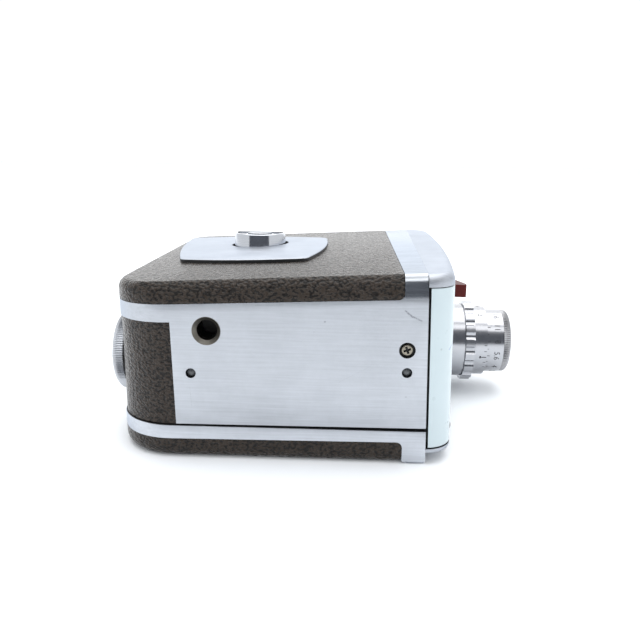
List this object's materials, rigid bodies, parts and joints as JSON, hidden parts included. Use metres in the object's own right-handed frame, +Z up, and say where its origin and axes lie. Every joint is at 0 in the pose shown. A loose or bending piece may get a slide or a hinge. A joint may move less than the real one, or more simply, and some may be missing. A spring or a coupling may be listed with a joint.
{
  "type": "spring-wound cine camera",
  "caption": "Spring-wound 8 mm cine camera lying on its film door: leatherette sides, silver casting, fixed lens with turning rings, winding hub, red run button and base socket.",
  "frame": {"origin": "middle of the bottom of the whole object's box, on the surface that the film door lies on", "axes": "+X forward along the lens, +Y towards the camera's own top, +Z up from the film door to the winding side; the base of the camera faces -Y"},
  "size_m": [0.137, 0.1198, 0.0595],
  "materials": {
    "cast_alloy": "silver hammered lacquer, satin",
    "pressed_sheet": "bare pressed sheet",
    "brushed_plate": "brushed, clear lacquered",
    "machined_aluminium": "turned and satin anodised",
    "dark_rim": "knurled, dark anodised",
    "front_enamel": "pale ice enamel, smooth",
    "leatherette": "pebble grained, dark taupe",
    "chrome": "polished",
    "bare_steel": "machined, nickel plated",
    "spring_steel": "blued strip",
    "brass": "machined",
    "black_metal": "matt black",
    "black_plastic": "moulded",
    "red_plastic": "dark red paint over metal",
    "glass": "polished, coated"
  },
  "bodies": {
    "camera_body": {"body_casting": "cast_alloy", "tripod_bush": "bare_steel", "base_screw": "bare_steel", "rear_leather": "leatherette", "side_cover": "pressed_sheet", "side_leather": "leatherette", "escutcheon_plate": "brushed_plate", "front_housing": "cast_alloy", "front_panel": "front_enamel", "panel_rivets": "bare_steel", "viewfinder_tube": "black_metal", "viewfinder_objective": "glass", "eyepiece_ring": "black_metal", "eyepiece_glass": "glass", "movement_plate": "brass", "plate_pillars": "brass", "plate_screws": "bare_steel", "supply_spindle": "bare_steel", "roller_pins": "bare_steel", "aperture_plate": "bare_steel", "gate_bracket": "bare_steel", "hinge_body_leaf": "bare_steel", "hinge_pin": "bare_steel", "lens_barrel": "machined_aluminium", "index_collar": "machined_aluminium", "front_element": "glass", "rear_element": "glass", "iris_plate": "black_metal"},
    "spring_barrel": {"barrel_drum": "brass", "mainspring": "spring_steel"},
    "second_wheel": {"second_wheel": "brass"},
    "third_wheel": {"third_wheel": "brass"},
    "governor": {"governor": "brass"},
    "shutter": {"shutter": "black_metal"},
    "take_up_drive": {"takeup_gear": "brass"},
    "take_up_spool": {"takeup_spool": "black_metal"},
    "supply_spool": {"supply_spool": "black_metal"},
    "winder": {"winding_arbor": "bare_steel", "winding_hub": "chrome"},
    "winding_bail": {"winding_bail": "chrome"},
    "upper_roller": {"upper_film_roller": "black_plastic"},
    "lower_roller": {"lower_film_roller": "black_plastic"},
    "pressure_plate": {"pressure_plate": "bare_steel"},
    "claw": {"film_claw": "bare_steel"},
    "rear_dial": {"footage_dial": "machined_aluminium"},
    "release": {"release_button": "red_plastic", "release_stem": "bare_steel"},
    "door": {"film_door": "cast_alloy", "door_leather": "leatherette", "hinge_door_leaf": "bare_steel"},
    "door_latch": {"door_latch": "chrome"},
    "focus_ring": {"focus_ring": "machined_aluminium"},
    "aperture_control": {"aperture_ring": "machined_aluminium", "front_rim": "dark_rim"}
  },
  "joints": [
    {"name": "spring_barrel_turn", "type": "hinge", "parent": "camera_body", "child": "spring_barrel", "pos_m": [-0.0275, 0.0131, 0.034], "axis": [0, 0, 1], "continuous": true},
    {"name": "second_wheel_turn", "type": "hinge", "parent": "camera_body", "child": "second_wheel", "pos_m": [-0.00949, -0.00621, 0.035], "axis": [0, 0, 1], "continuous": true},
    {"name": "third_wheel_turn", "type": "hinge", "parent": "camera_body", "child": "third_wheel", "pos_m": [0.00864, 0.00011, 0.038], "axis": [0, 0, 1], "continuous": true},
    {"name": "governor_spin", "type": "hinge", "parent": "camera_body", "child": "governor", "pos_m": [-0.00293, -0.02425, 0.036], "axis": [0, 0, 1], "continuous": true},
    {"name": "shutter_spin", "type": "hinge", "parent": "camera_body", "child": "shutter", "pos_m": [0.0265, 0.00011, 0.0324], "axis": [1, 0, 0], "continuous": true},
    {"name": "take_up_drive_turn", "type": "hinge", "parent": "camera_body", "child": "take_up_drive", "pos_m": [-0.03228, -0.0298, 0.034], "axis": [0, 0, 1], "continuous": true},
    {"name": "take_up_spool_slip", "type": "hinge", "parent": "take_up_drive", "child": "take_up_spool", "pos_m": [-0.03228, -0.0298, 0.014], "axis": [0, 0, 1], "continuous": true},
    {"name": "supply_spool_turn", "type": "hinge", "parent": "camera_body", "child": "supply_spool", "pos_m": [-0.0325, 0.0261, 0.014], "axis": [0, 0, 1], "continuous": true},
    {"name": "winder_turn", "type": "hinge", "parent": "camera_body", "child": "winder", "pos_m": [-0.0275, 0.0131, 0.05], "axis": [0, 0, 1], "continuous": true},
    {"name": "winding_bail_lift", "type": "hinge", "parent": "winder", "child": "winding_bail", "pos_m": [-0.0275, 0.0131, 0.0582], "axis": [-1, 0, 0], "range_deg": [0, 90]},
    {"name": "upper_roller_turn", "type": "hinge", "parent": "camera_body", "child": "upper_roller", "pos_m": [0.0125, 0.0341, 0.015], "axis": [0, 0, 1], "continuous": true},
    {"name": "lower_roller_turn", "type": "hinge", "parent": "camera_body", "child": "lower_roller", "pos_m": [0.0125, -0.0099, 0.015], "axis": [0, 0, 1], "continuous": true},
    {"name": "pressure_plate_slide", "type": "slide", "parent": "camera_body", "child": "pressure_plate", "axis": [-1, 0, 0], "range_m": [0, 0.0015], "stiffness_N_per_m": 200, "springref_m": -0.001},
    {"name": "claw_stroke", "type": "slide", "parent": "camera_body", "child": "claw", "axis": [0, -1, 0], "range_m": [0, 0.00381]},
    {"name": "rear_dial_turn", "type": "hinge", "parent": "camera_body", "child": "rear_dial", "pos_m": [-0.0635, -0.0294, 0.0244], "axis": [-1, 0, 0], "continuous": true},
    {"name": "release_slide", "type": "slide", "parent": "camera_body", "child": "release", "axis": [-0.0785, -0.9969, 0], "range_m": [0, 0.0045], "stiffness_N_per_m": 200, "springref_m": -0.001},
    {"name": "door_swing", "type": "hinge", "parent": "camera_body", "child": "door", "pos_m": [-0.0185, 0.0581, 0.0106], "axis": [1, 0, 0], "range_deg": [0, 100]},
    {"name": "door_latch_turn", "type": "hinge", "parent": "door", "child": "door_latch", "pos_m": [0.0065, -0.0379, 0.001], "axis": [0, 0, 1], "range_deg": [0, 90]},
    {"name": "focus_turn", "type": "hinge", "parent": "camera_body", "child": "focus_ring", "pos_m": [0.0527, 0.0121, 0.0188], "axis": [1, 0, 0], "range_deg": [0, 270]},
    {"name": "aperture_turn", "type": "hinge", "parent": "camera_body", "child": "aperture_control", "pos_m": [0.0625, 0.0121, 0.0188], "axis": [1, 0, 0], "range_deg": [0, 90]}
  ],
  "couplings": [
    {"joint": "second_wheel_turn", "follows": "spring_barrel_turn", "ratio": -4.5},
    {"joint": "third_wheel_turn", "follows": "spring_barrel_turn", "ratio": 13.5},
    {"joint": "governor_spin", "follows": "spring_barrel_turn", "ratio": 13.5},
    {"joint": "take_up_drive_turn", "follows": "spring_barrel_turn", "ratio": 3.5217},
    {"joint": "shutter_spin", "follows": "spring_barrel_turn", "ratio": -27}
  ]
}
